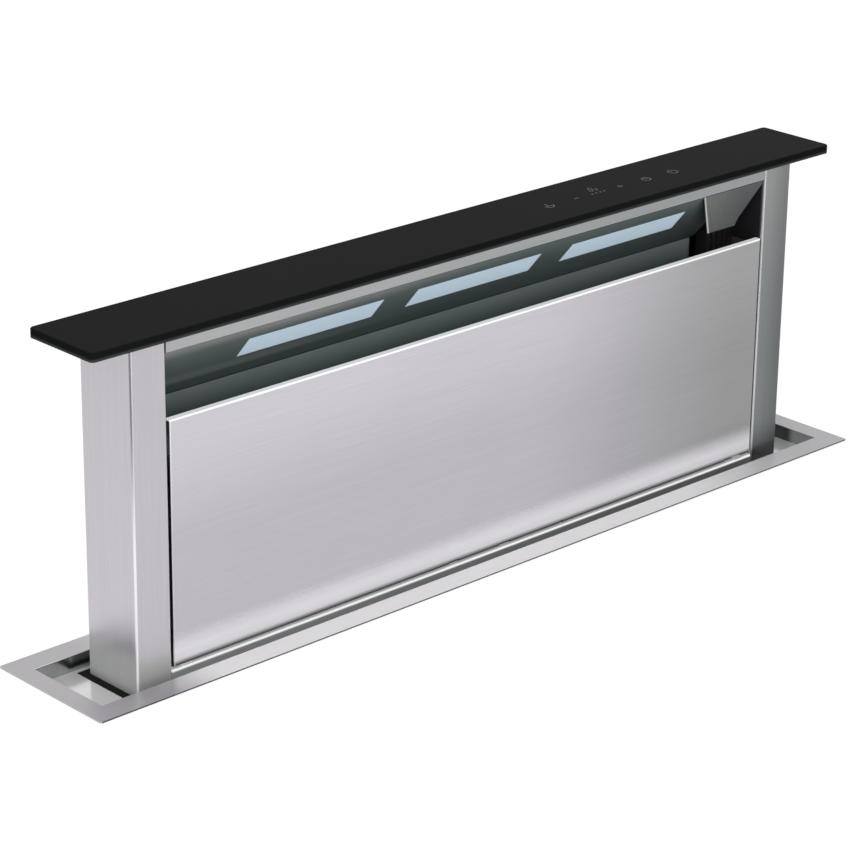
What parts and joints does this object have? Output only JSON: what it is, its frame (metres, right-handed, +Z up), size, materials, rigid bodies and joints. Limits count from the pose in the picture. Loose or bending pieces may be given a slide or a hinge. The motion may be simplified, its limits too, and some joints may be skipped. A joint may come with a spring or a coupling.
{
  "type": "downdraft vent",
  "caption": "Retractable worktop extractor: a lifting steel column with black glass top, lamps and intake slot, over a casing with lift drive, blower and duct outlet.",
  "frame": {"origin": "centre of the worktop cut-out, on the plane of the worktop's top surface", "axes": "+X along the vent to the right of the user, +Y away from the user, +Z up; the column is raised"},
  "size_m": [0.9, 0.3478, 1.014],
  "materials": {
    "satin_steel": "fine brushed stainless steel",
    "galvanised": "zinc coated sheet",
    "black_glass": "opaque black toughened glass",
    "grey_sheet": "dark grey painted sheet",
    "lamp_glass": "frosted pale glass",
    "circuit": "green circuit board",
    "mesh_aluminium": "anodised aluminium",
    "black_plastic": "black moulded plastic",
    "grey_plastic": "grey moulded plastic",
    "white_nylon": "glide nylon",
    "belt_rubber": "toothed rubber belt",
    "seal_foam": "closed-cell foam",
    "bright_steel": "turned steel",
    "motor_black": "black painted motor body"
  },
  "bodies": {
    "base": {"worktop_frame": "satin_steel", "trough_walls": "satin_steel", "trough_floor": "satin_steel", "frame_seal": "seal_foam", "worktop_clamps": "galvanised", "casing_front": "galvanised", "casing_back": "galvanised", "casing_right": "galvanised", "casing_left": "galvanised", "casing_floor": "galvanised", "feet": "galvanised", "casing_screws": "bright_steel", "guide_rails": "mesh_aluminium", "idler_pins": "bright_steel", "belts": "belt_rubber", "shaft_bearings": "black_plastic", "lift_gearbox": "grey_plastic", "lift_motor": "motor_black", "blower_box": "galvanised", "blower_cover": "galvanised", "volute_back": "black_plastic", "volute_front": "black_plastic", "inlet_ring": "galvanised", "blower_motor": "motor_black", "outlet_collar": "black_plastic", "damper_pin": "bright_steel", "damper_spring": "bright_steel", "control_tray": "grey_plastic", "control_lid": "grey_plastic", "control_circuit": "circuit", "cable_gland": "black_plastic"},
    "column": {"glass_top": "black_glass", "glass_carrier": "galvanised", "control_board": "circuit", "right_post": "satin_steel", "left_post": "satin_steel", "head_bar": "satin_steel", "rear_panel": "satin_steel", "lower_skin": "galvanised", "bottom_rail": "satin_steel", "front_panel": "satin_steel", "lamp_plate": "grey_sheet", "lamp_windows": "lamp_glass", "led_modules": "mesh_aluminium", "inner_wall": "grey_sheet", "cable_duct": "black_plastic", "cable_cover": "satin_steel", "filter_frames": "mesh_aluminium", "filter_meshes": "mesh_aluminium", "filter_ledge": "grey_sheet", "grease_gutter": "satin_steel", "glide_shoes": "white_nylon", "belt_clamps": "black_plastic"},
    "shaft": {"cross_shaft": "bright_steel", "drive_pulleys": "mesh_aluminium"},
    "idlers": {"idler_pulleys": "white_nylon"},
    "wheel": {"blower_wheel": "black_plastic", "wheel_shaft": "bright_steel"},
    "flap_front": {"damper_flap_front": "black_plastic"},
    "flap_back": {"damper_flap_back": "black_plastic"}
  },
  "joints": [
    {"name": "column_lift", "type": "slide", "parent": "base", "child": "column", "axis": [0, 0, 1], "range_m": [-0.292, 0]},
    {"name": "cross_shaft_turn", "type": "hinge", "parent": "base", "child": "shaft", "pos_m": [0, 0.018, -0.665], "axis": [1, 0, 0], "continuous": true},
    {"name": "idler_turn", "type": "hinge", "parent": "base", "child": "idlers", "pos_m": [0, 0.018, -0.052], "axis": [1, 0, 0], "continuous": true},
    {"name": "blower_spin", "type": "hinge", "parent": "base", "child": "wheel", "pos_m": [0.036, -0.13, -0.52], "axis": [0, -1, 0], "continuous": true},
    {"name": "flap_front_swing", "type": "hinge", "parent": "base", "child": "flap_front", "pos_m": [-0.214, -0.1385, -0.442], "axis": [0, 0, -1], "range_deg": [0, 75], "stiffness_Nm_per_rad": 0.01, "springref_deg": -11.46},
    {"name": "flap_back_swing", "type": "hinge", "parent": "base", "child": "flap_back", "pos_m": [-0.214, -0.1385, -0.442], "axis": [0, 0, 1], "range_deg": [0, 75], "stiffness_Nm_per_rad": 0.01, "springref_deg": -11.46}
  ],
  "couplings": [
    {"joint": "cross_shaft_turn", "follows": "column_lift", "rad_per_m": -83.333},
    {"joint": "idler_turn", "follows": "column_lift", "rad_per_m": -83.333}
  ]
}
